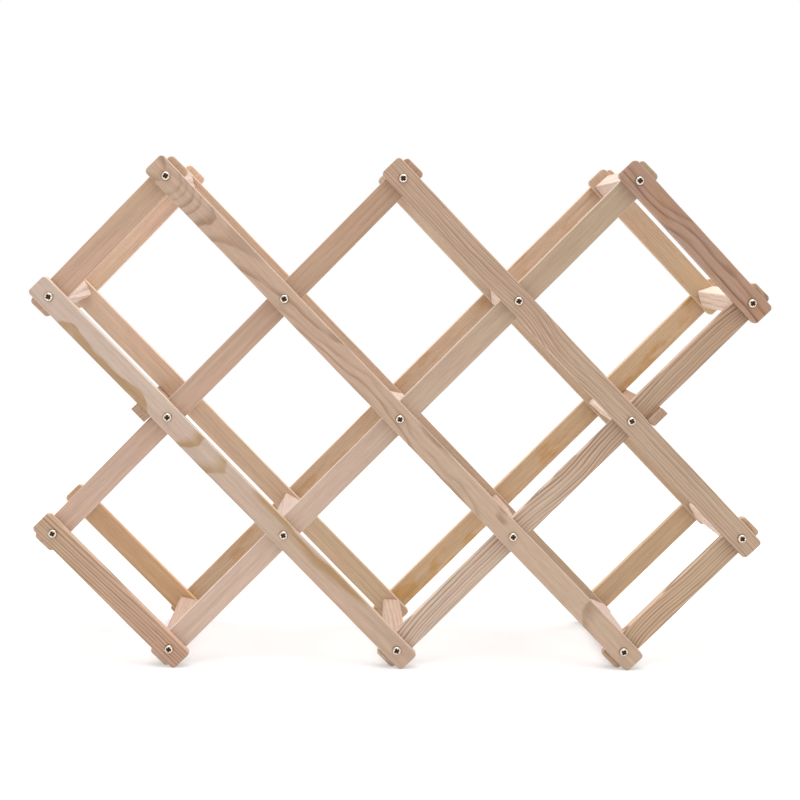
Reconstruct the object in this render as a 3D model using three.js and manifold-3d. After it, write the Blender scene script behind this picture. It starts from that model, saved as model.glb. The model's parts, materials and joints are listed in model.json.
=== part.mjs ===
// Folding lattice wine rack: two lattices of flat pine slats, pinned by screws to wooden crossbars.
// Millimetres. +X is the rack's right, +Y its back, +Z up. The origin is on the floor, below the middle.
// Pivots sit on a grid of columns 1 to 7 (left to right) and rows 1 to 5 (top to bottom).

import * as THREE from "three";
import { mergeVertices } from "three/addons/utils/BufferGeometryUtils.js";
import Module from "manifold-3d";

const wasm = await Module();
wasm.setup();

const DEGREE = Math.PI / 180;

// The fold: the pitch between neighbouring pivots and the slats' slope set width and height.
const pitch = 120;
const restAngle = 45.7 * DEGREE;
const middleColumn = 4;
const bottomRow = 5;

// Slats.
const slatWidth = 17.5;
const slatThickness = 6.2;
const slatOverhang = 13.2;
const cornerRadius = 3;
const levelFacetHalfAngle = 14 * DEGREE;

// Crossbars between the two lattices.
const crossbarSide = 14;
const crossbarLength = 104;
const crossbarChamfer = 1;

// Pan-head screws, one in the front of every pivot.
const screwRadius = 1.6;
const screwLength = 34;
const screwTipLength = 4;
const headRadius = 3.1;
const headHeight = 2;
const headRimHeight = 0.9;
const recessSpan = 3.4;
const recessArm = 0.85;
const recessDepth = 1.2;
const roundSegments = 12;

// Clearances: between stacked layers, round a screw and past its tip.
const gap = 0.3;
const holeRadius = screwRadius + gap;
const pilotDepth = 24;

// Stop rails: they sit in the side notches and keep the rack from opening wider than at rest.
const railLength = 13.4;
const railThickness = 5.5;

// Slat layout: the first and last pivot of each slat, left end first, as [column, row].
const fallingSlats = [
  { from: [1, 2], to: [4, 5] },
  { from: [2, 1], to: [6, 5] },
  { from: [4, 1], to: [7, 4] },
  { from: [6, 1], to: [7, 2] },
  { from: [1, 4], to: [2, 5] },
];
const risingSlats = [
  { from: [1, 2], to: [2, 1] },
  { from: [1, 4], to: [4, 1] },
  { from: [2, 5], to: [6, 1] },
  { from: [4, 5], to: [7, 2] },
  { from: [6, 5], to: [7, 4] },
];

// Every pivot, and how far its crossbar has turned on its screws, clockwise from the front, in degrees.
const crossbars = [
  { column: 2, row: 1, turn: -14 },
  { column: 4, row: 1, turn: 38 },
  { column: 6, row: 1, turn: -42 },
  { column: 1, row: 2, turn: -27 },
  { column: 3, row: 2, turn: 40 },
  { column: 5, row: 2, turn: -8 },
  { column: 7, row: 2, turn: -19 },
  { column: 2, row: 3, turn: 44 },
  { column: 4, row: 3, turn: 12 },
  { column: 6, row: 3, turn: 42 },
  { column: 1, row: 4, turn: -40 },
  { column: 3, row: 4, turn: 30 },
  { column: 5, row: 4, turn: -44 },
  { column: 7, row: 4, turn: -31 },
  { column: 2, row: 5, turn: 15 },
  { column: 4, row: 5, turn: 2 },
  { column: 6, row: 5, turn: 22 },
];

// Depth layout, front to back. The screw heads stand in front of the wood.
const headStandOff = gap + headHeight;
const latticeDepth = 2 * slatThickness + gap;
const woodDepth = 2 * latticeDepth + 2 * gap + crossbarLength;
const frontFace = headStandOff - (woodDepth + headStandOff) / 2;
const crossbarFront = frontFace + latticeDepth + gap;
const rearFace = crossbarFront + crossbarLength + gap;
const layers = {
  front: { falling: frontFace, rising: frontFace + slatThickness + gap },
  rear: { falling: rearFace, rising: rearFace + slatThickness + gap },
};

// Height of the lowest pivots: each foot is the rounded corner of a slat, cut level by one facet.
const footDrop =
  (slatOverhang - cornerRadius) * Math.sin(restAngle) +
  (slatWidth / 2 - cornerRadius) * Math.cos(restAngle) +
  cornerRadius * Math.cos(levelFacetHalfAngle);

const materials = {
  slat: { color: 0xd9bd9c, roughness: 0.62, metalness: 0 },
  crossbar: { color: 0xe6cbb0, roughness: 0.66, metalness: 0 },
  stopRail: { color: 0xb39474, roughness: 0.7, metalness: 0 },
  screw: { color: 0xc9c7c0, roughness: 0.28, metalness: 1 },
};

const group = new THREE.Group();
group.name = "folding_wine_rack";

function addMesh(name, geometry, look) {
  const mesh = new THREE.Mesh(geometry, new THREE.MeshStandardMaterial(look));
  mesh.name = name;
  group.add(mesh);
}

// A pivot's place in the lattice plane: x to the right, z up.
function pivotAt(column, row) {
  return {
    x: (column - middleColumn) * pitch * Math.cos(restAngle),
    z: footDrop + (bottomRow - row) * pitch * Math.sin(restAngle),
  };
}

function pivotLabel(column, row) {
  return `c${column}_r${row}`;
}

// Turns a shape drawn in x and z, clockwise from the front, places it, and extrudes it backwards from y.
function extrudeBack(shape, depth, turn, x, y, z) {
  const geometry = new THREE.ExtrudeGeometry(shape, { depth, bevelEnabled: false });
  geometry.rotateZ(-turn);
  geometry.rotateX(Math.PI / 2);
  geometry.translate(x, y + depth, z);
  return geometry;
}

function circle(x, y, radius) {
  const points = [];
  for (let i = 0; i < roundSegments; i += 1) {
    const angle = (i * 2 * Math.PI) / roundSegments;
    points.push(new THREE.Vector2(x + radius * Math.cos(angle), y + radius * Math.sin(angle)));
  }
  return points;
}

// Angles along a slat's rounded corner, from its long axis to its side; the widest step is the level facet.
function cornerAngles() {
  const level = Math.PI / 2 - restAngle;
  const facetStart = level - levelFacetHalfAngle;
  const facetEnd = level + levelFacetHalfAngle;
  return [0, facetStart / 2, facetStart, facetEnd, (facetEnd + Math.PI / 2) / 2, Math.PI / 2];
}

// Outline of a slat along its own x axis, with the first pivot at 0 and the last at span.
function slatOutline(span) {
  const reach = slatOverhang - cornerRadius;
  const side = slatWidth / 2 - cornerRadius;
  const toSide = cornerAngles();
  const toAxis = [...toSide].reverse();
  const corners = [
    { x: span + reach, alongX: 1, alongY: 1, angles: toSide },
    { x: -reach, alongX: -1, alongY: 1, angles: toAxis },
    { x: -reach, alongX: -1, alongY: -1, angles: toSide },
    { x: span + reach, alongX: 1, alongY: -1, angles: toAxis },
  ];
  return corners.flatMap((corner) =>
    corner.angles.map(
      (angle) =>
        new THREE.Vector2(
          corner.x + corner.alongX * cornerRadius * Math.cos(angle),
          corner.alongY * (side + cornerRadius * Math.sin(angle))
        )
    )
  );
}

// One slat with a screw hole at each pivot it passes. The turn is clockwise from the front.
function slatGeometry(slat, turn, y) {
  const steps = slat.to[0] - slat.from[0];
  const shape = new THREE.Shape(slatOutline(steps * pitch));
  for (let step = 0; step <= steps; step += 1) {
    shape.holes.push(new THREE.Path(circle(step * pitch, 0, holeRadius)));
  }
  const start = pivotAt(...slat.from);
  return extrudeBack(shape, slatThickness, turn, start.x, y, start.z);
}

function addSlats(side) {
  fallingSlats.forEach((slat, index) => {
    const geometry = slatGeometry(slat, restAngle, layers[side].falling);
    addMesh(`${side}_falling_slat_${index + 1}`, geometry, materials.slat);
  });
  risingSlats.forEach((slat, index) => {
    const geometry = slatGeometry(slat, -restAngle, layers[side].rising);
    addMesh(`${side}_rising_slat_${index + 1}`, geometry, materials.slat);
  });
}

function toManifold(geometry) {
  const bare = new THREE.BufferGeometry();
  bare.setAttribute("position", geometry.getAttribute("position"));
  bare.setIndex(geometry.getIndex());
  const welded = mergeVertices(bare, 1e-4);
  return new wasm.Manifold(
    new wasm.Mesh({
      numProp: 3,
      vertProperties: new Float32Array(welded.getAttribute("position").array),
      triVerts: new Uint32Array(welded.getIndex().array),
    })
  );
}

function fromManifold(solid) {
  const result = solid.getMesh();
  const geometry = new THREE.BufferGeometry();
  geometry.setAttribute("position", new THREE.BufferAttribute(result.vertProperties, 3));
  geometry.setIndex(new THREE.BufferAttribute(result.triVerts, 1));
  const faceted = geometry.toNonIndexed();
  faceted.computeVertexNormals();
  return faceted;
}

// A cylinder along y that starts at y = 0 and runs to y = depth.
function pilotHole(depth) {
  const geometry = new THREE.CylinderGeometry(holeRadius, holeRadius, depth, roundSegments);
  geometry.translate(0, depth / 2, 0);
  return toManifold(geometry);
}

function crossbarShape() {
  const half = crossbarSide / 2;
  const cut = half - crossbarChamfer;
  return new THREE.Shape(
    [[half, -cut], [half, cut], [cut, half], [-cut, half], [-half, cut], [-half, -cut], [-cut, -half], [cut, -half]]
      .map(([x, y]) => new THREE.Vector2(x, y))
  );
}

// A square bar with chamfered edges and a blind pilot hole in each end.
function crossbarGeometry(turn) {
  const bar = toManifold(extrudeBack(crossbarShape(), crossbarLength, turn, 0, 0, 0));
  const overrun = 1;
  const frontHole = pilotHole(pilotDepth + overrun).translate([0, -overrun, 0]);
  const rearHole = pilotHole(pilotDepth + overrun).translate([0, crossbarLength - pilotDepth, 0]);
  return fromManifold(bar.subtract(frontHole).subtract(rearHole));
}

function addCrossbars() {
  for (const { column, row, turn } of crossbars) {
    const place = pivotAt(column, row);
    const geometry = crossbarGeometry(turn * DEGREE);
    geometry.translate(place.x, crossbarFront, place.z);
    addMesh(`crossbar_${pivotLabel(column, row)}`, geometry, materials.crossbar);
  }
}

// A screw along y: the top of its head at y = -headHeight, the underside at 0, its tip at y = screwLength.
function screwBody() {
  const profile = [
    [0, screwLength],
    [screwRadius, screwLength - screwTipLength],
    [screwRadius, 0],
    [headRadius, 0],
    [headRadius, -headRimHeight],
    [headRadius * 0.72, -headHeight + 0.2],
    [headRadius * 0.42, -headHeight],
    [0, -headHeight],
  ];
  const points = profile.map(([radius, y]) => new THREE.Vector2(radius, y)).reverse();
  return toManifold(new THREE.LatheGeometry(points, roundSegments));
}

// The cross-shaped driver recess, cut down from the top of the head.
function driverRecess() {
  const overrun = 1;
  const height = recessDepth + overrun;
  const arm = new THREE.BoxGeometry(recessSpan, height, recessArm);
  arm.translate(0, -headHeight - overrun + height / 2, 0);
  const crossing = arm.clone().rotateY(Math.PI / 2);
  return toManifold(arm).add(toManifold(crossing));
}

function addScrews() {
  const screw = fromManifold(screwBody().subtract(driverRecess()));
  for (const { column, row, turn } of crossbars) {
    const place = pivotAt(column, row);
    const geometry = screw.clone();
    geometry.rotateY(turn * DEGREE);
    geometry.translate(place.x, frontFace - gap, place.z);
    addMesh(`screw_${pivotLabel(column, row)}`, geometry, materials.screw);
  }
}

// A rail the full depth of the rack, lying along a slat's lower edge and against the slat it crosses.
function addStopRail(name, column, row, outward) {
  const start = slatWidth / 2 + gap;
  const along = start + railLength / 2;
  const below = start + railThickness / 2;
  const place = pivotAt(column, row);
  const x = outward * (along * Math.cos(restAngle) + below * Math.sin(restAngle));
  const z = along * Math.sin(restAngle) - below * Math.cos(restAngle);
  const rail = new THREE.BoxGeometry(railLength, woodDepth, railThickness);
  rail.rotateY(-outward * restAngle);
  rail.translate(place.x + x, frontFace + woodDepth / 2, place.z + z);
  addMesh(name, rail, materials.stopRail);
}

addSlats("front");
addSlats("rear");
addCrossbars();
addScrews();
addStopRail("stop_rail_left", 2, 3, -1);
addStopRail("stop_rail_right", 6, 3, 1);

export default group;
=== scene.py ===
"""Looks of the folding lattice wine rack: sanded pine slats, crossbars and rails, held by steel screws."""

import json
import math

import bmesh
import bpy
from mathutils import Matrix, Vector, noise

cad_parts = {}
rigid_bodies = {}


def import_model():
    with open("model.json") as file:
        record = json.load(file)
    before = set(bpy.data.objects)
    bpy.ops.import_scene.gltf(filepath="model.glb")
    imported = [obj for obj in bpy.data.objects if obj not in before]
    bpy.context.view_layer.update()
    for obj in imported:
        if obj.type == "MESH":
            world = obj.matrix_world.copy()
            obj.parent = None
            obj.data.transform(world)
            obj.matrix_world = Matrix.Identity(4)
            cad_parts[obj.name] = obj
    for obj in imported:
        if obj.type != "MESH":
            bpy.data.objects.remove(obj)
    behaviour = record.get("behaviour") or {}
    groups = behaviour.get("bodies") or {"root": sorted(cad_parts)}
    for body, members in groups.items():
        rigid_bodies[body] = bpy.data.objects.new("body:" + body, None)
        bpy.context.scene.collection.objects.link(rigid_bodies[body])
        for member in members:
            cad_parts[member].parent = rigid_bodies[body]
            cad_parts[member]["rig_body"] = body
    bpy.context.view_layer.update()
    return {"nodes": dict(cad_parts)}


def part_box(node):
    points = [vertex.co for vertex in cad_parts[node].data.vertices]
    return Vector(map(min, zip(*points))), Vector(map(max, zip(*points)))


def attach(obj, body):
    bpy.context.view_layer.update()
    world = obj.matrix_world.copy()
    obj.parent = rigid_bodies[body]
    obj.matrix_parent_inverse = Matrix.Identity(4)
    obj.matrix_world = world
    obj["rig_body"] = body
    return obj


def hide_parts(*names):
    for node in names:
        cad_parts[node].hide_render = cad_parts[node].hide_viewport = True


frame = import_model()

MM = 0.001
WHITE = (1.0, 1.0, 1.0, 1.0)

# Shapes that the CAD solids have too.
SLAT_WIDTH = 17.5 * MM
SLAT_OVERHANG = 13.2 * MM
SLAT_CORNER_RADIUS = 3 * MM
HOLE_RADIUS = 1.9 * MM
CROSSBAR_SIDE = 14 * MM
SCREW_HEAD_RADIUS = 3.1 * MM
SCREW_RADIUS = 1.6 * MM

# Shapes that differ a little from the CAD solids.
SCREW_LENGTH = 32 * MM
STOP_SECTION = (13.4 * MM, 6.0 * MM)

# The pieces bear on each other, where the CAD solids keep a gap: each is this much longer at each end.
CLOSE_UP = 0.1 * MM

# How far a screw head is pressed into the wood.
SEAT_DEPTH = 0.4 * MM

# The camera is fitted to the photograph's perspective. Its place is given from the middle screw, in steps of
# the pivot pitch. The photograph is cropped to the left of its lens axis, hence the shift.
CAMERA_OFFSET = (-0.3604, -8.0098, 1.0539)
CAMERA_PITCH = math.radians(6.69)
CAMERA_YAW = math.radians(0.68)
CAMERA_ROLL = math.radians(0.57)
CAMERA_LENS = 60.44
CAMERA_SENSOR = 36.0
CAMERA_SHIFT = 0.055

FLOOR_RADIUS = 1.8
FLOOR_SIDES = 96
FLOOR_TONE = (0.64, 0.64, 0.64, 1.0)
FLOOR_ROUGHNESS = 0.9
FLOOR_GLOW = 0.3
STUDIO_STRENGTH = 1.0
OVERHEAD_PLACE = (0.1, -0.1, 2.2)
OVERHEAD_TARGET = (0.0, 0.0, 0.1)
OVERHEAD_SIZE = 2.0
OVERHEAD_POWER = 42

# The lights brighten the wood, so its own colour is this share of the display colour it is given.
ALBEDO_SCALE = 0.835

# The pivots of each slat from left to right, as (column, row).
FALLING = {
    1: [(1, 2), (2, 3), (3, 4), (4, 5)],
    2: [(2, 1), (3, 2), (4, 3), (5, 4), (6, 5)],
    3: [(4, 1), (5, 2), (6, 3), (7, 4)],
    4: [(6, 1), (7, 2)],
    5: [(1, 4), (2, 5)],
}
RISING = {
    1: [(1, 2), (2, 1)],
    2: [(1, 4), (2, 3), (3, 2), (4, 1)],
    3: [(2, 5), (3, 4), (4, 3), (5, 2), (6, 1)],
    4: [(4, 5), (5, 4), (6, 3), (7, 2)],
    5: [(6, 5), (7, 4)],
}
MIDDLE_PIVOT = (4, 3)

# Each crossbar's tone, and how far it has turned on its screws, clockwise from the front, in degrees.
CROSSBARS = {
    (2, 1): ("plain", -14), (4, 1): ("plain", 38), (6, 1): ("plain", -42),
    (1, 2): ("plain", -27), (3, 2): ("plain", 40), (5, 2): ("pale", -8), (7, 2): ("pale", -19),
    (2, 3): ("plain", 44), (4, 3): ("plain", 12), (6, 3): ("pale", 42),
    (1, 4): ("plain", -40), (3, 4): ("plain", 30), (5, 4): ("warm", -44), (7, 4): ("pale", -31),
    (2, 5): ("warm", 15), (4, 5): ("warm", 2), (6, 5): ("plain", 22),
}


def srgb(red, green, blue, scale=1.0):
    """A colour given as 0 to 255 display values, as the linear colour Blender wants."""
    def linear(value):
        value /= 255
        return value / 12.92 if value <= 0.04045 else ((value + 0.055) / 1.055) ** 2.4
    return (scale * linear(red), scale * linear(green), scale * linear(blue), 1.0)


# ---------------------------------------------------------------- node graphs

class Graph:
    """Adds nodes to one node tree. Arguments are sockets, or plain values for unlinked inputs."""

    def __init__(self, tree):
        self.tree = tree

    def feed(self, socket, value):
        if isinstance(value, bpy.types.NodeSocket):
            self.tree.links.new(value, socket)
        else:
            socket.default_value = value

    def node(self, kind, inputs=(), **settings):
        made = self.tree.nodes.new(kind)
        for name, value in settings.items():
            setattr(made, name, value)
        for key, value in dict(inputs).items():
            self.feed(made.inputs[key], value)
        return made

    def math(self, operation, first, second=0.0, third=0.0, clamp=False):
        values = {0: first, 1: second, 2: third}
        return self.node("ShaderNodeMath", values, operation=operation, use_clamp=clamp).outputs[0]

    def vector(self, operation, first, second=(0.0, 0.0, 0.0)):
        return self.node("ShaderNodeVectorMath", {0: first, 1: second}, operation=operation).outputs[0]

    def combine(self, x, y, z):
        return self.node("ShaderNodeCombineXYZ", {0: x, 1: y, 2: z}).outputs[0]

    def separate(self, vector):
        return self.node("ShaderNodeSeparateXYZ", {0: vector}).outputs

    def noise(self, place, steps, seed, detail=2.0, roughness=0.5):
        """Noise whose features are about that many millimetres long along x, y and z."""
        scaled = self.vector("DIVIDE", place, steps)
        shifted = self.vector("ADD", scaled, seed)
        settings = {"Vector": shifted, "Scale": 1.0, "Detail": detail, "Roughness": roughness}
        return self.node("ShaderNodeTexNoise", settings).outputs

    def ramp(self, value, low, high):
        """0 at low, 1 at high, and smooth between them."""
        settings = {"Value": value, "From Min": low, "From Max": high}
        return self.node("ShaderNodeMapRange", settings, interpolation_type="SMOOTHSTEP").outputs["Result"]

    def mix(self, factor, first, second, blend="MIX"):
        made = self.node("ShaderNodeMix", data_type="RGBA", blend_type=blend)
        for key, value in ((0, factor), (6, first), (7, second)):
            self.feed(made.inputs[key], value)
        return made.outputs[2]

    def tinted(self, factor, colour, tint):
        """The colour, multiplied by the tint as far as the factor says."""
        return self.mix(factor, colour, self.mix(1.0, colour, tint, "MULTIPLY"))

    def curve(self, value, points):
        """A smooth curve through points, for a value between 0 and 1."""
        made = self.node("ShaderNodeFloatCurve", {"Value": value})
        mapping = made.mapping
        mapping.use_clip = False
        line = mapping.curves[0].points
        for point in points[1:-1]:
            line.new(*point)
        for slot, point in zip(line, points):
            slot.location = point
        mapping.update()
        return made.outputs[0]

    def surface(self, settings):
        """Gives the material one Principled surface."""
        shader = self.node("ShaderNodeBsdfPrincipled", settings)
        self.node("ShaderNodeOutputMaterial", {"Surface": shader.outputs["BSDF"]})


def new_material(name):
    material = bpy.data.materials.new(name)
    material.use_nodes = True
    material.node_tree.nodes.clear()
    return material, Graph(material.node_tree)


def place_in_millimetres(graph):
    """A point's place in its own piece, and the direction its surface faces there."""
    at = graph.node("ShaderNodeTexCoord")
    place = graph.vector("MULTIPLY", at.outputs["Object"], (1 / MM, 1 / MM, 1 / MM))
    return place, at.outputs["Normal"]


# ---------------------------------------------------------------- pine

PINE_INPUTS = {
    "Base": "NodeSocketColor",
    "Late": "NodeSocketColor",
    "Patch": "NodeSocketColor",
    "Pith Y": "NodeSocketFloat",
    "Pith Z": "NodeSocketFloat",
    "Spacing": "NodeSocketFloat",
    "Width": "NodeSocketFloat",
    "Warp": "NodeSocketFloat",
    "Strength": "NodeSocketFloat",
    "Patches": "NodeSocketFloat",
    "Pale And Highlit Sides": "NodeSocketFloat",
    "Seed": "NodeSocketFloat",
}
PINE_OUTPUTS = {"Color": "NodeSocketColor", "Roughness": "NodeSocketFloat", "Height": "NodeSocketFloat"}

# How long the wood's features are along, across and through a board, in millimetres.
SWAY_SIZE = (46.0, 17.0, 17.0)
FADE_SIZE = (55.0, 9.0, 9.0)
FIBRE_SIZE = (14.0, 0.42, 0.42)
STREAK_SIZE = (80.0, 2.4, 2.4)
CLOUD_SIZE = (48.0, 20.0, 20.0)
BLOTCH_SIZE = (34.0, 12.0, 12.0)
PIT_SIZE = (5.5, 1.5, 1.5)
PIT_CLUSTER_SIZE = (9.0, 6.0, 6.0)

# The values at which a feature starts to show and is full: of its noise, or of how far a face is turned.
FADE_LIMITS = (0.3, 0.6)
CLOUD_LIMITS = (0.3, 0.7)
BLOTCH_LIMITS = (0.5, 0.64)
PIT_LIMITS = (0.16, 0.06)
PIT_CLUSTER_LIMITS = (0.56, 0.66)
SIDE_LIMITS = (0.3, 0.8)
END_LIMITS = (0.72, 0.93)

# Rings vary in width by up to this many ring widths, at this rate from ring to ring.
RING_UNEVENNESS = 1.8
RING_RHYTHM = 0.31

# Latewood darkens up to here and fades out from here, as shares of its width before the ring's end.
DARKEST_BEFORE_END = 0.2
FADING_BEFORE_END = 0.17

# Colours that multiply the board's own, and the colour of resin pits. The side tint is partly the long
# sides' own paler wood and partly painted highlight.
PINK_TINT = (1.02, 0.975, 0.975, 1.0)
PALE_SIDE_AND_HIGHLIGHT_TINT = (1.31, 1.39, 1.50, 1.0)
END_GRAIN_TINT = (0.80, 0.76, 0.72, 1.0)
PIT_COLOUR = (0.13, 0.07, 0.035, 1.0)

# How much each feature does to the brightness, the roughness and the relief.
LEAST_SHADE = 0.78
STREAK_SHADE = 0.44
FIBRE_SHADE = 0.6
PIT_DARKNESS = 0.45
PLAIN_ROUGHNESS = 0.52
STREAK_ROUGHNESS = 0.16
LATEWOOD_ROUGHNESS = -0.08
END_GRAIN_ROUGHNESS = 0.14
LATEWOOD_RELIEF = 0.5
FIBRE_RELIEF = 0.7
PIT_RELIEF = -0.8
RELIEF_STRENGTH = 0.55
RELIEF_HEIGHT = 0.12 * MM
WOOD_SPECULAR = 0.3


def ring_number(graph, place, inputs, seed):
    """A point's distance from the pith in rings, with swaying and uneven rings."""
    drift = graph.noise(place, SWAY_SIZE, seed, detail=2.5)["Color"]
    centred = graph.vector("SUBTRACT", drift, (0.5, 0.5, 0.5))
    sway = graph.vector("MULTIPLY", centred, graph.combine(0.0, inputs["Warp"], inputs["Warp"]))
    swayed = graph.separate(graph.vector("ADD", place, sway))
    off_y = graph.math("SUBTRACT", swayed["Y"], inputs["Pith Y"])
    off_z = graph.math("SUBTRACT", swayed["Z"], inputs["Pith Z"])
    squares = graph.math("MULTIPLY_ADD", off_y, off_y, graph.math("MULTIPLY", off_z, off_z))
    radius = graph.math("DIVIDE", graph.math("SQRT", squares), inputs["Spacing"])
    settings = {"W": radius, "Scale": RING_RHYTHM, "Detail": 1.0}
    uneven = graph.node("ShaderNodeTexNoise", settings, noise_dimensions="1D")
    return graph.math("MULTIPLY_ADD", uneven.outputs["Fac"], RING_UNEVENNESS, radius)


def growth_rings(graph, place, inputs, seed):
    """How much latewood there is at a point: rings round the pith, each fading in and ending sharply."""
    rings = ring_number(graph, place, inputs, seed)
    phase = graph.math("FRACT", rings)
    start = graph.math("SUBTRACT", 1.0, inputs["Width"])
    darkest = graph.math("MULTIPLY_ADD", inputs["Width"], -DARKEST_BEFORE_END, 1.0)
    fading = graph.math("MULTIPLY_ADD", inputs["Width"], -FADING_BEFORE_END, 1.0)
    rise = graph.ramp(phase, start, darkest)
    fall = graph.ramp(phase, 1.0, fading)
    each = graph.node("ShaderNodeTexWhiteNoise", {"W": graph.math("FLOOR", rings)}, noise_dimensions="1D")
    varied = graph.math("MULTIPLY_ADD", each.outputs["Value"], 0.5, 0.5)
    return graph.math("MULTIPLY", graph.math("MULTIPLY", rise, fall), varied)


def resin_pits(graph, place, seed):
    """Short dark flecks, a few to each board."""
    spread = graph.vector("ADD", graph.vector("DIVIDE", place, PIT_SIZE), seed)
    spots = graph.node("ShaderNodeTexVoronoi", {"Vector": spread, "Scale": 1.0})
    fleck = graph.ramp(spots.outputs["Distance"], *PIT_LIMITS)
    few = graph.ramp(graph.noise(place, PIT_CLUSTER_SIZE, seed)["Fac"], *PIT_CLUSTER_LIMITS)
    return graph.math("MULTIPLY", fleck, few)


def board_colour(graph, place, inputs, seed, latewood):
    """A board's own colour with its pinkish clouds, its blotches and its rings."""
    cloud = graph.noise(place, CLOUD_SIZE, seed, detail=2.0)["Fac"]
    blotch = graph.noise(place, BLOTCH_SIZE, seed, detail=2.5, roughness=0.55)["Fac"]
    patch = graph.math("MULTIPLY", graph.ramp(blotch, *BLOTCH_LIMITS), inputs["Patches"], clamp=True)
    colour = graph.tinted(graph.ramp(cloud, *CLOUD_LIMITS), inputs["Base"], PINK_TINT)
    colour = graph.tinted(patch, colour, inputs["Patch"])
    return graph.tinted(latewood, colour, inputs["Late"])


def pine_tree():
    tree = bpy.data.node_groups.new("pine", "ShaderNodeTree")
    for name, kind in PINE_INPUTS.items():
        tree.interface.new_socket(name, in_out="INPUT", socket_type=kind)
    for name, kind in PINE_OUTPUTS.items():
        tree.interface.new_socket(name, in_out="OUTPUT", socket_type=kind)
    return tree


def pine_group():
    """The wood that all boards share. Its inputs say what is a board's own."""
    graph = Graph(pine_tree())
    inputs = graph.node("NodeGroupInput").outputs
    place, normal = place_in_millimetres(graph)
    facing = graph.separate(graph.vector("ABSOLUTE", normal))
    seed = graph.combine(inputs["Seed"], inputs["Seed"], inputs["Seed"])
    fade = graph.ramp(graph.noise(place, FADE_SIZE, seed)["Fac"], *FADE_LIMITS)
    strength = graph.math("MULTIPLY", inputs["Strength"], graph.math("MULTIPLY_ADD", fade, 0.5, 0.5))
    latewood = graph.math("MULTIPLY", growth_rings(graph, place, inputs, seed), strength, clamp=True)
    fibre = graph.noise(place, FIBRE_SIZE, seed, detail=3.0, roughness=0.65)["Fac"]
    streak = graph.noise(place, STREAK_SIZE, seed, detail=3.0)["Fac"]
    pit = resin_pits(graph, place, seed)
    # The long side faces are paled: partly their own paler wood, partly painted highlight.
    side = graph.math("MULTIPLY", graph.ramp(facing["Y"], *SIDE_LIMITS), inputs["Pale And Highlit Sides"])
    end_grain = graph.ramp(facing["X"], *END_LIMITS)

    colour = board_colour(graph, place, inputs, seed, latewood)
    shade = graph.math("MULTIPLY_ADD", streak, STREAK_SHADE, LEAST_SHADE)
    shade = graph.math("MULTIPLY_ADD", graph.math("SUBTRACT", fibre, 0.5), FIBRE_SHADE, shade)
    colour = graph.mix(1.0, colour, graph.combine(shade, shade, shade), "MULTIPLY")
    colour = graph.mix(graph.math("MULTIPLY", pit, PIT_DARKNESS), colour, PIT_COLOUR)
    colour = graph.tinted(side, colour, PALE_SIDE_AND_HIGHLIGHT_TINT)
    colour = graph.tinted(end_grain, colour, END_GRAIN_TINT)

    rough = graph.math("MULTIPLY_ADD", streak, STREAK_ROUGHNESS, PLAIN_ROUGHNESS)
    rough = graph.math("MULTIPLY_ADD", latewood, LATEWOOD_ROUGHNESS, rough)
    rough = graph.math("MULTIPLY_ADD", end_grain, END_GRAIN_ROUGHNESS, rough)
    height = graph.math("MULTIPLY", fibre, FIBRE_RELIEF)
    height = graph.math("MULTIPLY_ADD", latewood, LATEWOOD_RELIEF, height)
    height = graph.math("MULTIPLY_ADD", pit, PIT_RELIEF, height)
    graph.node("NodeGroupOutput", {"Color": colour, "Roughness": rough, "Height": height})
    return graph.tree


PINE = pine_group()

# The grain of each board follows its pith line, which is drawn over this length of board.
PITH_SPAN = 540.0

# The curves hold the pith's place as a share of this.
PITH_REACH = 100.0


def pith_line(graph, along, stations):
    """The pith's y and z where the board is cut at x, from (x, y, z) stations in millimetres."""
    share = graph.math("MULTIPLY_ADD", along, 1 / PITH_SPAN, 0.5)
    first, last = stations[0], stations[-1]
    full = [(-PITH_SPAN / 2, *first[1:]), *stations, (PITH_SPAN / 2, *last[1:])]
    lines = []
    for axis in (1, 2):
        points = [(station[0] / PITH_SPAN + 0.5, station[axis] / PITH_REACH) for station in full]
        lines.append(graph.math("MULTIPLY", graph.curve(share, points), PITH_REACH))
    return lines


def pine_material(name, base, late, pith, base_end=None, half_length=1.0, patch=(1, 1, 1), patches=0.0,
                  spacing=2.2, width=0.6, warp=2.0, strength=0.8, pale_and_highlit_sides=1.0, seed=0.0):
    """One board's wood. Lengths are in millimetres.

    The colour changes from base to base_end, where there is one, from half_length before the board's origin
    to half_length past it. late tints the latewood, patch tints the blotches and patches is how strong they
    are. The rings are spacing apart, the latewood takes width of each, and warp is how much they sway.
    """
    material, graph = new_material(name)
    place, _ = place_in_millimetres(graph)
    along = graph.separate(place)["X"]
    pith_y, pith_z = pith_line(graph, along, pith)
    near_colour = srgb(*base, ALBEDO_SCALE)
    far_colour = srgb(*(base_end or base), ALBEDO_SCALE)
    values = {
        "Base": graph.mix(graph.ramp(along, -half_length, half_length), near_colour, far_colour),
        "Late": (*late, 1.0),
        "Patch": (*patch, 1.0),
        "Pith Y": pith_y,
        "Pith Z": pith_z,
        "Spacing": spacing,
        "Width": width,
        "Warp": warp,
        "Strength": strength,
        "Patches": patches,
        "Pale And Highlit Sides": pale_and_highlit_sides,
        "Seed": seed,
    }
    wood = graph.node("ShaderNodeGroup", node_tree=PINE)
    for key, value in values.items():
        graph.feed(wood.inputs[key], value)
    relief = {"Strength": RELIEF_STRENGTH, "Distance": RELIEF_HEIGHT, "Height": wood.outputs["Height"]}
    graph.surface({
        "Base Color": wood.outputs["Color"],
        "Roughness": wood.outputs["Roughness"],
        "Normal": graph.node("ShaderNodeBump", relief).outputs["Normal"],
        "Specular IOR Level": WOOD_SPECULAR,
    })
    return material


# Tints of latewood.
HONEY = (0.78, 0.66, 0.45)
BROWN = (0.66, 0.60, 0.54)
DARK_BROWN = (0.48, 0.41, 0.35)
SOFT_BROWN = (0.80, 0.76, 0.72)

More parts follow.
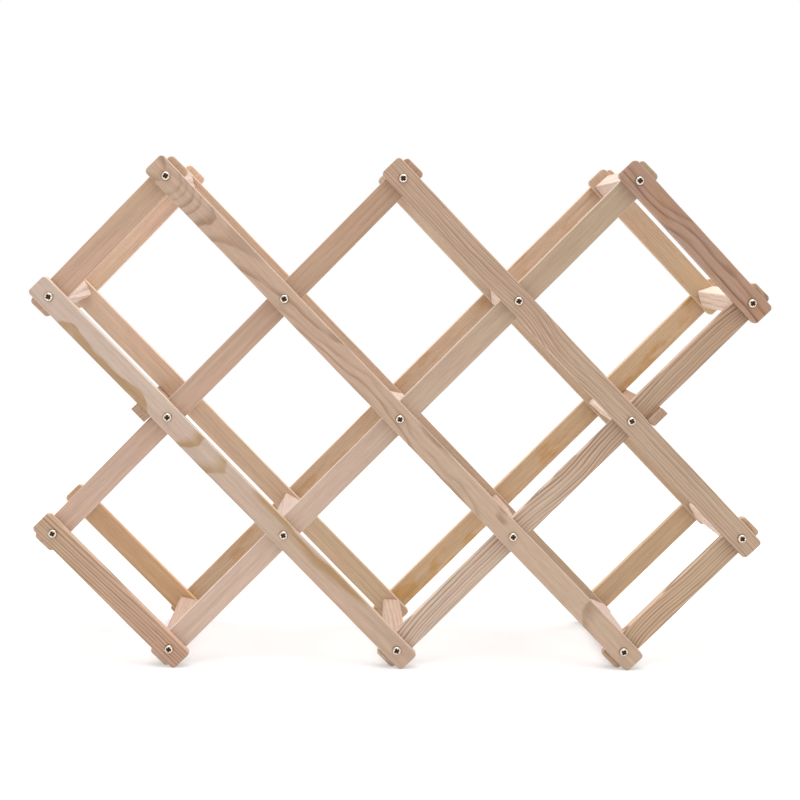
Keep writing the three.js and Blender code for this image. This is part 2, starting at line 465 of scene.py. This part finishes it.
# Each slat: its colour at its left and right end as display values, its rings and its pith line.
SLAT_LOOKS = {
    "front_falling_slat_1": dict(
        base=(199, 178, 162), base_end=(193, 167, 145), late=HONEY,
        spacing=4.2, width=0.55, warp=2.4, strength=1.9, seed=3.1,
        pith=[
            (-194, -8, -39.5), (-166, -8, -39.5), (-160, -12.5, -38.4), (-153, -10.9, -37.8),
            (-146, -11.6, -37.9), (-140, -11.2, -38.2), (-110, -11.6, -38.3), (-100, -12, -37.9),
            (-92, -12, -37.5), (-86, -12, -37.5), (-78, -12, -38.2), (-72, -12, -38.9),
            (-66, -8, -39.5), (-50, -3, -40.6), (-40, 1, -42.7), (-27, 2, -44.8), (-17, 1, -46),
            (4, 0, -48.1), (12, -1, -48.3), (25, -5, -48.8), (60, -8, -49), (100, -9, -49),
            (130, -7, -48.6), (150, -3, -48.4), (190, -1, -48.3),
        ],
    ),
    "front_falling_slat_2": dict(
        base=(192, 164, 142), base_end=(194, 168, 145), late=BROWN,
        spacing=2.5, width=0.6, warp=4, strength=1.0, seed=7.7,
        pith=[
            (-254, -1, -20), (-200, -1, -33), (-170, 6, -36), (-117, 12, -38), (0, 14, -41),
            (20, 12, -39.8), (40, 8, -40.5), (80, 8, -40.9), (100, 6, -40.3), (115, 2, -40.6),
            (190, 1, -40.6), (200, 3, -39.7), (213, 3, -38.3), (222, 1, -37.8), (254, 0, -37.8),
        ],
    ),
    "front_falling_slat_3": dict(
        base=(191, 162, 139), base_end=(190, 164, 140), late=DARK_BROWN,
        spacing=2.3, width=0.7, warp=3.2, strength=0.9, seed=1.4,
        pith=[(-190, 60, 4), (-80, 60, 4), (-50, 62, 4), (-10, 57, 4), (40, 59.5, 4), (180, 60, 4)],
    ),
    "front_falling_slat_4": dict(
        base=(170, 138, 118), base_end=(173, 140, 118), late=(0.50, 0.40, 0.31),
        patch=(1.0, 0.92, 0.76), patches=0.8, spacing=3.8, width=0.5, warp=6, strength=1.0, seed=9.2,
        pith=[(-74, 8, -10), (-40, 9, -9), (0, 12, -12), (74, 10, -12)],
    ),
    "front_falling_slat_5": dict(
        base=(193, 163, 136), base_end=(195, 160, 135), late=DARK_BROWN,
        spacing=2.5, width=0.65, warp=2.2, strength=1.15, seed=4.6,
        pith=[(-74, 46, 5), (74, 50, 5)],
    ),
    "front_rising_slat_1": dict(
        base=(198, 164, 141), base_end=(198, 167, 140), late=BROWN,
        spacing=1.6, width=0.8, warp=1.5, strength=0.45, seed=5.3,
        pith=[(-74, 50, 4), (74, 49, 4)],
    ),
    "front_rising_slat_2": dict(
        base=(200, 171, 152), base_end=(182, 150, 124), late=SOFT_BROWN,
        spacing=3.0, width=0.7, warp=4, strength=0.4, seed=6.9,
        pith=[(-190, 40, -30), (190, 34, -26)],
    ),
    "front_rising_slat_3": dict(
        base=(205, 180, 162), base_end=(181, 158, 133), late=SOFT_BROWN,
        spacing=4.2, width=0.7, warp=5, strength=0.3, seed=2.2,
        pith=[(-250, 60, 40), (250, 66, 44)],
    ),
    "front_rising_slat_4": dict(
        base=(208, 186, 166), base_end=(184, 154, 127), late=DARK_BROWN,
        spacing=2.5, width=0.7, warp=3.6, strength=1.1, seed=8.4,
        pith=[
            (-192, 4, -50), (-174, 43, 6), (-80, 47, 6), (-40, 46, 6), (0, 42.5, 6), (40, 45.5, 6),
            (174, 46, 6), (192, 4, -50),
        ],
    ),
    "front_rising_slat_5": dict(
        base=(199, 170, 141), base_end=(194, 166, 138), late=DARK_BROWN,
        spacing=2.4, width=0.7, warp=2.5, strength=1.05, seed=0.7,
        pith=[(-72, 2, -50), (-55, 29, 6), (-30, 33.5, 6), (10, 31, 6), (55, 30, 6), (72, 2, -50)],
    ),
    # The rear slats are lighter and warmer than the front ones: painted light, for the light that reaches
    # inside the rack and bounces between its pieces.
    "rear_falling_slat_1": dict(
        base=(213, 183, 158), base_end=(208, 182, 151), late=SOFT_BROWN,
        spacing=2.6, warp=4, strength=0.5, seed=11.0,
        pith=[(-190, 60, 12), (190, 56, 12)],
    ),
    "rear_falling_slat_2": dict(
        base=(207, 175, 148), base_end=(191, 165, 139), late=SOFT_BROWN,
        spacing=2.4, warp=4, strength=0.6, seed=12.0,
        pith=[(-250, 40, 12), (250, 46, 12)],
    ),
    "rear_falling_slat_3": dict(
        base=(201, 176, 152), base_end=(198, 172, 143), late=BROWN,
        spacing=2.2, warp=3, strength=0.5, seed=13.0,
        pith=[(-190, 50, 10), (190, 50, 10)],
    ),
    "rear_falling_slat_4": dict(
        base=(200, 169, 142), base_end=(200, 171, 136), late=BROWN,
        spacing=2.0, warp=2, strength=0.5, seed=14.0,
        pith=[(-74, 60, 5), (74, 60, 5)],
    ),
    "rear_falling_slat_5": dict(
        base=(203, 166, 131), base_end=(210, 172, 132), late=SOFT_BROWN,
        spacing=3.2, warp=5, strength=0.4, seed=15.0,
        pith=[(-74, 80, 22), (74, 80, 22)],
    ),
    "rear_rising_slat_1": dict(
        base=(218, 188, 160), base_end=(221, 188, 163), late=BROWN,
        spacing=2.0, warp=2, strength=0.5, seed=16.0,
        pith=[(-74, 60, 6), (74, 60, 6)],
    ),
    "rear_rising_slat_2": dict(
        base=(207, 180, 151), base_end=(205, 179, 153), late=BROWN,
        patch=(0.88, 0.74, 0.53), patches=0.9, spacing=2.6, warp=4, strength=0.5, seed=17.0,
        pith=[(-190, 56, 10), (190, 56, 10)],
    ),
    "rear_rising_slat_3": dict(
        base=(205, 175, 144), base_end=(203, 173, 146), late=SOFT_BROWN,
        patch=(0.90, 0.78, 0.60), patches=0.8, spacing=3.0, warp=5, strength=0.5, seed=18.0,
        pith=[(-250, 70, 20), (250, 70, 20)],
    ),
    "rear_rising_slat_4": dict(
        base=(212, 181, 145), base_end=(200, 169, 135), late=SOFT_BROWN,
        patch=(0.91, 0.78, 0.52), patches=1.0, spacing=3.2, warp=6, strength=0.4, seed=19.0,
        pith=[(-190, 60, 30), (190, 60, 30)],
    ),
    "rear_rising_slat_5": dict(
        base=(202, 172, 138), base_end=(199, 169, 135), late=SOFT_BROWN,
        spacing=2.6, warp=4, strength=0.5, seed=20.0,
        pith=[(-74, 60, 14), (74, 60, 14)],
    ),
}

# On crossbars and stop rails, x runs from the front end to the far end.
CROSSBAR_TONES = {"plain": (229, 207, 192), "pale": (245, 221, 203), "warm": (220, 191, 171)}
CROSSBAR_GRAINS = [
    dict(late=BROWN, spacing=2.7, warp=3, strength=0.8, pith=[(0, 16, 9), (104, 18, 9)]),
    dict(late=SOFT_BROWN, spacing=3.0, warp=4, strength=0.5, pith=[(0, 40, 20), (104, 40, 20)]),
    dict(late=SOFT_BROWN, spacing=2.5, warp=4, strength=0.6, pith=[(0, -30, 14), (104, -28, 14)]),
]
STOP_LOOK = dict(
    base=(196, 166, 142), late=DARK_BROWN,
    spacing=1.9, warp=2, strength=0.6, pale_and_highlit_sides=0.0, seed=41.0,
    pith=[(0, 16, 3), (130, 16, 3)],
)


# ---------------------------------------------------------------- steel

BRIGHT_STEEL = srgb(234, 225, 210)
DULL_STEEL = srgb(200, 189, 172)
STEEL_BLOTCH_SIZE = (1.2, 1.2, 1.2)
STEEL_BLOTCH_SEED = (2.0, 2.0, 2.0)
STEEL_BLOTCH_LIMITS = (0.42, 0.75)
STEEL_ROUGHNESS = 0.16
BLOTCH_ROUGHNESS = 0.2
TURNING_RATE = 42.0
TURNING_STRENGTH = 0.15
TURNING_DEPTH = 0.01 * MM

# The recess's colour is painted shade, darkest at the first of these heights above the wood's face, in
# millimetres.
RECESS_DEEP_SHADE = srgb(64, 42, 32)
RECESS_SHALLOW_SHADE = srgb(138, 104, 82)
RECESS_HEIGHTS = (0.7, 2.1)
RECESS_NOISE_SIZE = (0.7, 0.7, 0.7)
RECESS_NOISE_SEED = (5.0, 5.0, 5.0)
RECESS_ROUGHNESS = 0.55
RECESS_NOISE_ROUGHNESS = 0.2
RECESS_METALLIC = 0.1


def steel_material():
    """Bright plated steel with fine turning marks and a slightly uneven gloss."""
    material, graph = new_material("bright_steel")
    place, _ = place_in_millimetres(graph)
    blotch = graph.noise(place, STEEL_BLOTCH_SIZE, STEEL_BLOTCH_SEED, detail=3.0)["Fac"]
    across = graph.separate(place)
    x, y = across["X"], across["Y"]
    squares = graph.math("MULTIPLY_ADD", x, x, graph.math("MULTIPLY", y, y))
    turned = graph.math("SINE", graph.math("MULTIPLY", graph.math("SQRT", squares), TURNING_RATE))
    marks = {"Strength": TURNING_STRENGTH, "Distance": TURNING_DEPTH, "Height": turned}
    graph.surface({
        "Base Color": graph.mix(graph.ramp(blotch, *STEEL_BLOTCH_LIMITS), BRIGHT_STEEL, DULL_STEEL),
        "Roughness": graph.math("MULTIPLY_ADD", blotch, BLOTCH_ROUGHNESS, STEEL_ROUGHNESS),
        "Normal": graph.node("ShaderNodeBump", marks).outputs["Normal"],
        "Metallic": 1.0,
    })
    return material


def recess_material():
    """The driver recess: dull plating whose colour is painted shade, darkest at the bottom and uneven with
    noise.
    """
    material, graph = new_material("recess_steel_painted_shade")
    place, _ = place_in_millimetres(graph)
    height = graph.ramp(graph.separate(place)["Z"], *RECESS_HEIGHTS)
    recess_noise = graph.noise(place, RECESS_NOISE_SIZE, RECESS_NOISE_SEED)["Fac"]
    graph.surface({
        # Painted shade: the recess darkens towards its bottom, unevenly.
        "Base Color": graph.mix(graph.math("MULTIPLY", height, recess_noise), RECESS_DEEP_SHADE, RECESS_SHALLOW_SHADE),
        "Roughness": graph.math("MULTIPLY_ADD", recess_noise, RECESS_NOISE_ROUGHNESS, RECESS_ROUGHNESS),
        "Metallic": RECESS_METALLIC,
    })
    return material


# ---------------------------------------------------------------- meshes

# Faces that meet at more than this many degrees keep a sharp edge.
WOOD_SHARP_ANGLE = 32
SCREW_SHARP_ANGLE = 35

# Softened edges: their radius, and how far that and the faces wander. A bar's radius wanders by a share of
# itself. Sections follow each other at about SECTION_STEP.
SLAT_ARRIS = 0.75 * MM
SLAT_ARRIS_WANDER = 0.3 * MM
SLAT_EDGE_WANDER = 0.16 * MM
CROSSBAR_ARRIS = 1.1 * MM
STOP_ARRIS = 0.6 * MM
BAR_ARRIS_WANDER = 0.28
BAR_FACE_WANDER = 0.14 * MM
SECTION_STEP = 9 * MM

# A bar's end: the size of its arris, and steps round that as shares of it, as (along, inset).
BAR_END_ARRIS = 0.45 * MM
BAR_END_STEPS = ((0.0, 1.0), (0.13, 0.5), (0.5, 0.13), (1.0, 0.0))

# Unevenness: how fast the noise passes along a metre of a piece, how much faster for an arris, and what
# sets the noise of one edge apart from that of the next.
WANDER_RATE = 38.0
SLAT_ARRIS_RATE = 1.8
BAR_ARRIS_RATE = 1.7
SEED_SCALE = (7.13, 1.7)
UPPER_EDGE_SEED = 3.0
SLAT_ARRIS_SEED = 9.0
BAR_ARRIS_SEED = 5

# The steps round a slat's arris in degrees, and how many steps go round the corner of a slat and of a bar.
ARRIS_STEPS = (0, 30, 60, 90)
CORNER_STEPS = 6
BAR_CORNER_STEPS = 3

# Radius and depth of each hole's edge: a seat that the screw head has pressed, and a plain softened edge.
PRESSED_SEAT = (
    (3.55 * MM, 0),
    (3.42 * MM, 0.1 * MM),
    (3.3 * MM, SEAT_DEPTH),
    (HOLE_RADIUS, SEAT_DEPTH + 0.1 * MM),
)
PLAIN_EDGE = (
    (2.2 * MM, 0),
    (2.05 * MM, 0.04 * MM),
    (1.94 * MM, 0.15 * MM),
    (HOLE_RADIUS, 0.3 * MM),
)
HOLE_SIDES = 24
SCREW_SIDES = 48

# The screw's point, then its head: the foot's share of its radius, the rim's height, and the crown, which
# is a quarter of an ellipse from these shares of the head's radius and height.
SCREW_TIP_RADIUS = 0.5 * MM
SCREW_TIP_LENGTH = 1 * MM
SCREW_POINT_LENGTH = 4 * MM
HEAD_FOOT = 0.96
HEAD_RIM_HEIGHT = 0.1 * MM
CROWN_INNER_RADIUS = 0.62
CROWN_OUTER_RADIUS = 0.38
CROWN_LOW = 0.42
CROWN_HIGH = 0.58
CROWN_STEPS = 6

# Height above the head's top, half span and half arm width of the driver recess, from its mouth down.
RECESS_LEVELS = (
    (0.4 * MM, 2.15 * MM, 1.02 * MM),
    (-0.5 * MM, 1.8 * MM, 0.86 * MM),
    (-1.5 * MM, 1.0 * MM, 0.5 * MM),
)

# Cutting the recess leaves slivers. Points nearer to each other than this become one.
WELD_DISTANCE = 0.002 * MM


def link_object(name, data):
    made = bpy.data.objects.new(name, data)
    bpy.context.scene.collection.objects.link(made)
    return made


def to_object(bm, name):
    mesh = bpy.data.meshes.new(name)
    bm.to_mesh(mesh)
    bm.free()
    return link_object(name, mesh)


def shade_smooth(mesh, sharp_angle):
    mesh.polygons.foreach_set("use_smooth", [True] * len(mesh.polygons))
    mesh.set_sharp_from_angle(angle=math.radians(sharp_angle))


def wooden_object(bm, name, material, matrix):
    bmesh.ops.recalc_face_normals(bm, faces=bm.faces[:])
    made = to_object(bm, name)
    shade_smooth(made.data, WOOD_SHARP_ANGLE)
    made.data.materials.append(material)
    made.matrix_world = matrix
    weighted = made.modifiers.new("even_shading", "WEIGHTED_NORMAL")
    weighted.keep_sharp = True
    return made


def bridge(bm, first, second):
    """Quads between two rings of the same length."""
    count = len(first)
    for i in range(count):
        j = (i + 1) % count
        bm.faces.new((first[i], first[j], second[j], second[i]))


def bridge_all(bm, rings):
    """Quads between each ring and the next."""
    for first, second in zip(rings, rings[1:]):
        bridge(bm, first, second)


def fill(bm, rings, normal):
    """One flat face bounded by an outline, less any hole rings."""
    edges = []
    for ring in rings:
        for i, vertex in enumerate(ring):
            follower = ring[(i + 1) % len(ring)]
            edges.append(bm.edges.get((vertex, follower)) or bm.edges.new((vertex, follower)))
    bmesh.ops.triangle_fill(bm, use_beauty=True, use_dissolve=False, edges=edges, normal=normal)


def circle(bm, centre, radius, height, count):
    """A ring of vertices round a point on the x axis."""
    ring = []
    for i in range(count):
        angle = 2 * math.pi * i / count
        place = (centre + radius * math.cos(angle), radius * math.sin(angle), height)
        ring.append(bm.verts.new(place))
    return ring


def wander(seed, along, size):
    """Smooth unevenness along a piece, between -size and size."""
    return size * noise.noise(Vector((along * WANDER_RATE, seed * SEED_SCALE[0], seed * SEED_SCALE[1])))


def slat_outline(span):
    """Points round a slat, as (place, outward normal), anticlockwise from its upper far corner."""
    reach = span / 2 + SLAT_OVERHANG - SLAT_CORNER_RADIUS
    side = SLAT_WIDTH / 2 - SLAT_CORNER_RADIUS
    straight_count = round(span / SECTION_STEP)
    points = []
    for quarter, (x, y) in enumerate(((reach, side), (-reach, side), (-reach, -side), (reach, -side))):
        for step in range(CORNER_STEPS + 1):
            angle = math.radians(90 * (quarter + step / CORNER_STEPS))
            normal = Vector((math.cos(angle), math.sin(angle)))
            points.append((Vector((x, y)) + SLAT_CORNER_RADIUS * normal, normal))
        if quarter in (0, 2):
            direction = -1 if quarter == 0 else 1
            edge = y - direction * SLAT_CORNER_RADIUS
            for step in range(1, straight_count):
                along = x + direction * 2 * reach * step / straight_count
                points.append((Vector((along, edge)), Vector((0, -direction))))
    return points


def slat_contour(span, seed):
    """Points round a slat, as (place, outward normal, arris size), with softly uneven long edges."""
    contour = []
    for place, normal in slat_outline(span):
        edge = seed + (UPPER_EDGE_SEED if normal.y > 0 else 0.0)
        moved = place + normal * wander(edge, place.x, SLAT_EDGE_WANDER)
        arris = SLAT_ARRIS + wander(edge + SLAT_ARRIS_SEED, place.x * SLAT_ARRIS_RATE, SLAT_ARRIS_WANDER)
        contour.append((moved, normal, arris))
    return contour


def slat_levels():
    """The rings of a slat, front to back, as (sign, arris inset, arris drop, hole radius, hole depth)."""
    levels = []
    for sign, steps, edge in ((1, ARRIS_STEPS, PRESSED_SEAT), (-1, ARRIS_STEPS[::-1], PLAIN_EDGE[::-1])):
        for step, (hole_radius, hole_depth) in zip(steps, edge):
            angle = math.radians(step)
            levels.append((sign, 1 - math.sin(angle), 1 - math.cos(angle), hole_radius, hole_depth))
    return levels


def slat_mesh(contour, holes, thickness):
    """A flat slat round its own middle: x along it, y across it, z through it towards the front."""
    bm = bmesh.new()
    outlines = []
    hole_rings = []
    for sign, inset, drop, hole_radius, hole_depth in slat_levels():
        ring = []
        for place, normal, arris in contour:
            point = place - normal * arris * inset
            ring.append(bm.verts.new((point.x, point.y, sign * (thickness / 2 - arris * drop))))
        outlines.append(ring)
        height = sign * (thickness / 2 - hole_depth)
        hole_rings.append([circle(bm, centre, hole_radius, height, HOLE_SIDES) for centre in holes])
    bridge_all(bm, outlines)
    for rings in zip(*hole_rings):
        bridge_all(bm, rings)
    fill(bm, [outlines[0], *hole_rings[0]], (0, 0, 1))
    fill(bm, [outlines[-1], *hole_rings[-1]], (0, 0, -1))
    return bm


def bar_outline(width, height, corner):
    """Points round a bar's section, as (corner's sign, corner's centre, outward normal)."""
    outline = []
    for quarter, (sy, sz) in enumerate(((1, 1), (-1, 1), (-1, -1), (1, -1))):
        for step in range(BAR_CORNER_STEPS + 1):
            angle = math.radians(90 * (quarter + step / BAR_CORNER_STEPS))
            centre = Vector((sy * (width / 2 - corner), sz * (height / 2 - corner)))
            outline.append((Vector((sy, sz)), centre, Vector((math.cos(angle), math.sin(angle)))))
    return outline


def bar_stations(length):
    """Places along a bar, as (x, inset), with softened ends."""
    near_end = [(BAR_END_ARRIS * x, BAR_END_ARRIS * inset) for x, inset in BAR_END_STEPS]
    far_end = [(length - x, inset) for x, inset in near_end[::-1]]
    straight = length - 2 * BAR_END_ARRIS
    steps = round(length / SECTION_STEP)
    between = [(BAR_END_ARRIS + straight * i / steps, 0.0) for i in range(1, steps)]
    return near_end + between + far_end


def bar_mesh(width, height, length, corner, seed):
    """A bar with softened edges along x, from x = 0 to its length, round y = 0 and z = 0."""
    bm = bmesh.new()
    outline = bar_outline(width, height, corner)
    rings = []
    for x, inset in bar_stations(length):
        ring = []
        for i, (sign, centre, normal) in enumerate(outline):
            edge = seed + i // (BAR_CORNER_STEPS + 1)
            uneven = wander(edge, x, BAR_FACE_WANDER)
            size = corner + wander(edge + BAR_ARRIS_SEED, x * BAR_ARRIS_RATE, BAR_ARRIS_WANDER * corner)
            point = centre + normal * (size - inset + uneven) + (corner - size) * sign
            ring.append(bm.verts.new((x, point.x, point.y)))
        rings.append(ring)
    bridge_all(bm, rings)
    bm.faces.new(rings[0])
    bm.faces.new(rings[-1])
    return bm


def lathe(profile, count):
    """A closed body turned round z from (radius, z) points, the first and last on the axis."""
    bm = bmesh.new()
    rings = [circle(bm, 0.0, radius, z, count) for radius, z in profile[1:-1]]
    bridge_all(bm, rings)
    for ring, (_, z) in ((rings[0], profile[0]), (rings[-1], profile[-1])):
        tip = bm.verts.new((0, 0, z))
        for i in range(count):
            bm.faces.new((ring[i], ring[(i + 1) % count], tip))
    bmesh.ops.recalc_face_normals(bm, faces=bm.faces[:])
    return bm


def recess_cutter(top):
    """A tapered cross, as a driver leaves it: 12 corners, wide at the top and narrow below."""
    bm = bmesh.new()
    rings = []
    for z, span, arm in RECESS_LEVELS:
        corners = []
        for quarter in range(4):
            turn = Matrix.Rotation(math.radians(90 * quarter), 2)
            for point in ((span, -arm), (span, arm), (arm, arm)):
                corners.append(turn @ Vector(point))
        rings.append([bm.verts.new((corner.x, corner.y, top + z)) for corner in corners])
    bridge_all(bm, rings)
    bm.faces.new(rings[0])
    bm.faces.new(rings[-1])
    bmesh.ops.recalc_face_normals(bm, faces=bm.faces[:])
    return bm


def weld(mesh):
    """Merges points that lie on each other, and the slivers between them."""
    bm = bmesh.new()
    bm.from_mesh(mesh)
    bmesh.ops.remove_doubles(bm, verts=bm.verts[:], dist=WELD_DISTANCE)
    bmesh.ops.dissolve_degenerate(bm, edges=bm.edges[:], dist=WELD_DISTANCE)
    bm.to_mesh(mesh)
    bm.free()


def screw_profile(head_height, length):
    """A pan-head screw's outline from its tip up, as (radius, z) points."""
    profile = [
        (0, -length),
        (SCREW_TIP_RADIUS, -length + SCREW_TIP_LENGTH),
        (SCREW_RADIUS, -length + SCREW_POINT_LENGTH),
        (SCREW_RADIUS, -SEAT_DEPTH),
        (SCREW_HEAD_RADIUS * HEAD_FOOT, -SEAT_DEPTH),
        (SCREW_HEAD_RADIUS, -SEAT_DEPTH + HEAD_RIM_HEIGHT),
    ]
    for step in range(CROWN_STEPS + 1):
        angle = math.radians(90 * step / CROWN_STEPS)
        radius = SCREW_HEAD_RADIUS * (CROWN_INNER_RADIUS + CROWN_OUTER_RADIUS * math.cos(angle))
        profile.append((radius, head_height * (CROWN_LOW + CROWN_HIGH * math.sin(angle))))
    profile.append((0, head_height))
    return profile


def screw_mesh(head_height, length):
    """A pan-head screw: the wood's face at z = 0, the head's top at head_height, the tip at -length."""
    screw = to_object(lathe(screw_profile(head_height, length), SCREW_SIDES), "screw_blank")
    screw.data.materials.append(steel_material())
    cutter = to_object(recess_cutter(head_height), "recess_cutter")
    cutter.data.materials.append(recess_material())
    cut = screw.modifiers.new("recess", "BOOLEAN")
    cut.object = cutter
    cut.solver = "EXACT"
    cut.material_mode = "TRANSFER"
    bpy.context.view_layer.update()
    evaluated = screw.evaluated_get(bpy.context.evaluated_depsgraph_get())
    mesh = bpy.data.meshes.new_from_object(evaluated)
    for made in (screw, cutter):
        bpy.data.objects.remove(made)
    weld(mesh)
    shade_smooth(mesh, SCREW_SHARP_ANGLE)
    return mesh


# ---------------------------------------------------------------- assembly

def pivot_name(pivot):
    """A pivot's column and row, as the names of the pieces give them."""
    column, row = pivot
    return f"c{column}_r{row}"


def box_middle(node):
    low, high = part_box(node)
    return (low + high) / 2


# The middle of each front screw, and the way from one pivot to the next along a rising slat.
PIVOTS = {key: box_middle(f"screw_{pivot_name(key)}") for key in CROSSBARS}
LATTICE_STEP = PIVOTS[(2, 1)] - PIVOTS[(1, 2)]
PITCH = LATTICE_STEP.length

# Where the crossbars' grain, and the crossbars' and stop rails' unevenness, take their seeds from.
CROSSBAR_GRAIN_SEED = 31.0
CROSSBAR_GRAIN_STEP = 3.7
CROSSBAR_WANDER_SEED = 30
STOP_WANDER_SEED = 60

# How the screws' crosses stand, in degrees: this much further from one pivot to the next, and this much to
# either side in front and at the back.
SCREW_TURN = 37
SIDE_TURN = 11.25


def body_of_node(node):
    return frame["nodes"][node]["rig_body"]


def placed_axes(x_axis, y_axis, z_axis, origin):
    """The matrix that takes a piece's own axes to these."""
    matrix = Matrix((x_axis, y_axis, z_axis)).transposed().to_4x4()
    matrix.translation = origin
    return matrix


def keep_above_floor(bm, matrix):
    """Wears the feet flat where they stand on the floor."""
    inverse = matrix.inverted()
    for vertex in bm.verts:
        place = matrix @ vertex.co
        if place.z < 0:
            place.z = 0
            vertex.co = inverse @ place


def add_slat(node, pivots):
    """Builds one slat on its pivots, in place of its CAD node."""
    low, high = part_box(node)
    first = PIVOTS[pivots[0]]
    last = PIVOTS[pivots[-1]]
    along = Vector((last.x - first.x, 0, last.z - first.z))
    span = along.length
    along.normalize()
    towards_front = Vector((0, -1, 0))
    middle = Vector(((first.x + last.x) / 2, (low.y + high.y) / 2, (first.z + last.z) / 2))
    matrix = placed_axes(along, towards_front.cross(along), towards_front, middle)
    look = SLAT_LOOKS[node]
    holes = [(PIVOTS[key] - first).dot(along) - span / 2 for key in pivots]
    bm = slat_mesh(slat_contour(span, look["seed"]), holes, high.y - low.y + 2 * CLOSE_UP)
    keep_above_floor(bm, matrix)
    material = pine_material(f"pine_{node}", half_length=span / 2 / MM, **look)
    slat = wooden_object(bm, f"{node}_wood", material, matrix)
    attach(slat, body_of_node(node))
    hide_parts(node)


def add_bar(node, middle, turn, section, corner, material, seed):
    """Builds a front-to-back bar in place of its CAD node. The turn is clockwise from the front."""
    low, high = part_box(node)
    along = Vector((0, 1, 0))
    upward = Vector((math.sin(turn), 0, math.cos(turn)))
    front_end = Vector((middle.x, low.y - CLOSE_UP, middle.z))
    matrix = placed_axes(along, upward.cross(along), upward, front_end)
    bm = bar_mesh(*section, high.y - low.y + 2 * CLOSE_UP, corner, seed)
    bar = wooden_object(bm, f"{node}_wood", material, matrix)
    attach(bar, body_of_node(node))
    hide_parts(node)


def add_crossbars():
    section = (CROSSBAR_SIDE, CROSSBAR_SIDE)
    for index, (key, (tone, turn)) in enumerate(CROSSBARS.items()):
        node = f"crossbar_{pivot_name(key)}"
        look = dict(
            base=CROSSBAR_TONES[tone],
            pale_and_highlit_sides=0.0,
            seed=CROSSBAR_GRAIN_SEED + CROSSBAR_GRAIN_STEP * index,
            **CROSSBAR_GRAINS[index % len(CROSSBAR_GRAINS)],
        )
        material = pine_material(f"pine_{node}", **look)
        turn = math.radians(turn)
        seed = CROSSBAR_WANDER_SEED + index
        add_bar(node, PIVOTS[key], turn, section, CROSSBAR_ARRIS, material, seed)


def add_stop_rails():
    slope = math.atan2(LATTICE_STEP.z, LATTICE_STEP.x)
    material = pine_material("pine_stop", **STOP_LOOK)
    for node, turn in (("stop_rail_left", slope), ("stop_rail_right", -slope)):
        seed = STOP_WANDER_SEED + turn
        add_bar(node, box_middle(node), turn, STOP_SECTION, STOP_ARRIS, material, seed)


def add_screws():
    head_low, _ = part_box(f"screw_{pivot_name(MIDDLE_PIVOT)}")
    wood_front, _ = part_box("front_falling_slat_2")
    _, wood_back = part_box("rear_rising_slat_3")
    shape = screw_mesh(wood_front.y - head_low.y, SCREW_LENGTH)
    sides = (("front", wood_front.y, 90, SIDE_TURN), ("rear", wood_back.y, -90, -SIDE_TURN))
    for index, (key, pivot) in enumerate(PIVOTS.items()):
        node = f"screw_{pivot_name(key)}"
        for side, y, tilt, turn in sides:
            screw = link_object(f"{side}_{node}", shape.copy())
            spin = Matrix.Rotation(math.radians(SCREW_TURN * index + turn), 4, "Z")
            face = Matrix.Rotation(math.radians(tilt), 4, "X")
            screw.matrix_world = Matrix.Translation((pivot.x, y, pivot.z)) @ face @ spin
            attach(screw, body_of_node(node))
            if side == "front":
                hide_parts(node)


# ---------------------------------------------------------------- stage

def add_floor():
    """A round white sheet, lit a little from below. All round it is the white of the studio."""
    bm = bmesh.new()
    bmesh.ops.create_circle(bm, cap_ends=True, segments=FLOOR_SIDES, radius=FLOOR_RADIUS)
    floor = to_object(bm, "floor")
    material, graph = new_material("floor_white")
    graph.surface({
        "Base Color": FLOOR_TONE,
        "Roughness": FLOOR_ROUGHNESS,
        "Specular IOR Level": 0.0,
        "Emission Color": WHITE,
        "Emission Strength": FLOOR_GLOW,
    })
    floor.data.materials.append(material)


def add_studio():
    """White light from all round."""
    world = bpy.data.worlds.new("studio")
    world.use_nodes = True
    background = world.node_tree.nodes["Background"]
    background.inputs["Color"].default_value = WHITE
    background.inputs["Strength"].default_value = STUDIO_STRENGTH
    bpy.context.scene.world = world
    bpy.context.scene.view_settings.view_transform = "Standard"


def add_overhead_light():
    data = bpy.data.lights.new("overhead", "AREA")
    data.shape = "SQUARE"
    data.size = OVERHEAD_SIZE
    data.energy = OVERHEAD_POWER
    light = link_object("overhead", data)
    light.location = OVERHEAD_PLACE
    aim = Vector(OVERHEAD_TARGET) - Vector(OVERHEAD_PLACE)
    light.rotation_euler = aim.to_track_quat("-Z", "Y").to_euler()


def add_camera():
    """The photograph's camera, looking at the rack's front from a little above and left of the middle."""
    origin = PIVOTS[MIDDLE_PIVOT].copy()
    origin.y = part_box("front_falling_slat_2")[0].y
    data = bpy.data.cameras.new("camera")
    data.lens = CAMERA_LENS
    data.sensor_width = CAMERA_SENSOR
    data.shift_x = CAMERA_SHIFT
    camera = link_object("camera", data)
    turn = (
        Matrix.Rotation(CAMERA_ROLL, 3, "Y")
        @ Matrix.Rotation(CAMERA_PITCH, 3, "X")
        @ Matrix.Rotation(CAMERA_YAW, 3, "Z")
    )
    right, forward, up = turn
    camera.matrix_world = placed_axes(right, up, -forward, origin + PITCH * Vector(CAMERA_OFFSET))
    bpy.context.scene.camera = camera


for side in ("front", "rear"):
    for number, pivots in FALLING.items():
        add_slat(f"{side}_falling_slat_{number}", pivots)
    for number, pivots in RISING.items():
        add_slat(f"{side}_rising_slat_{number}", pivots)
add_crossbars()
add_stop_rails()
add_screws()
add_floor()
add_studio()
add_overhead_light()
add_camera()
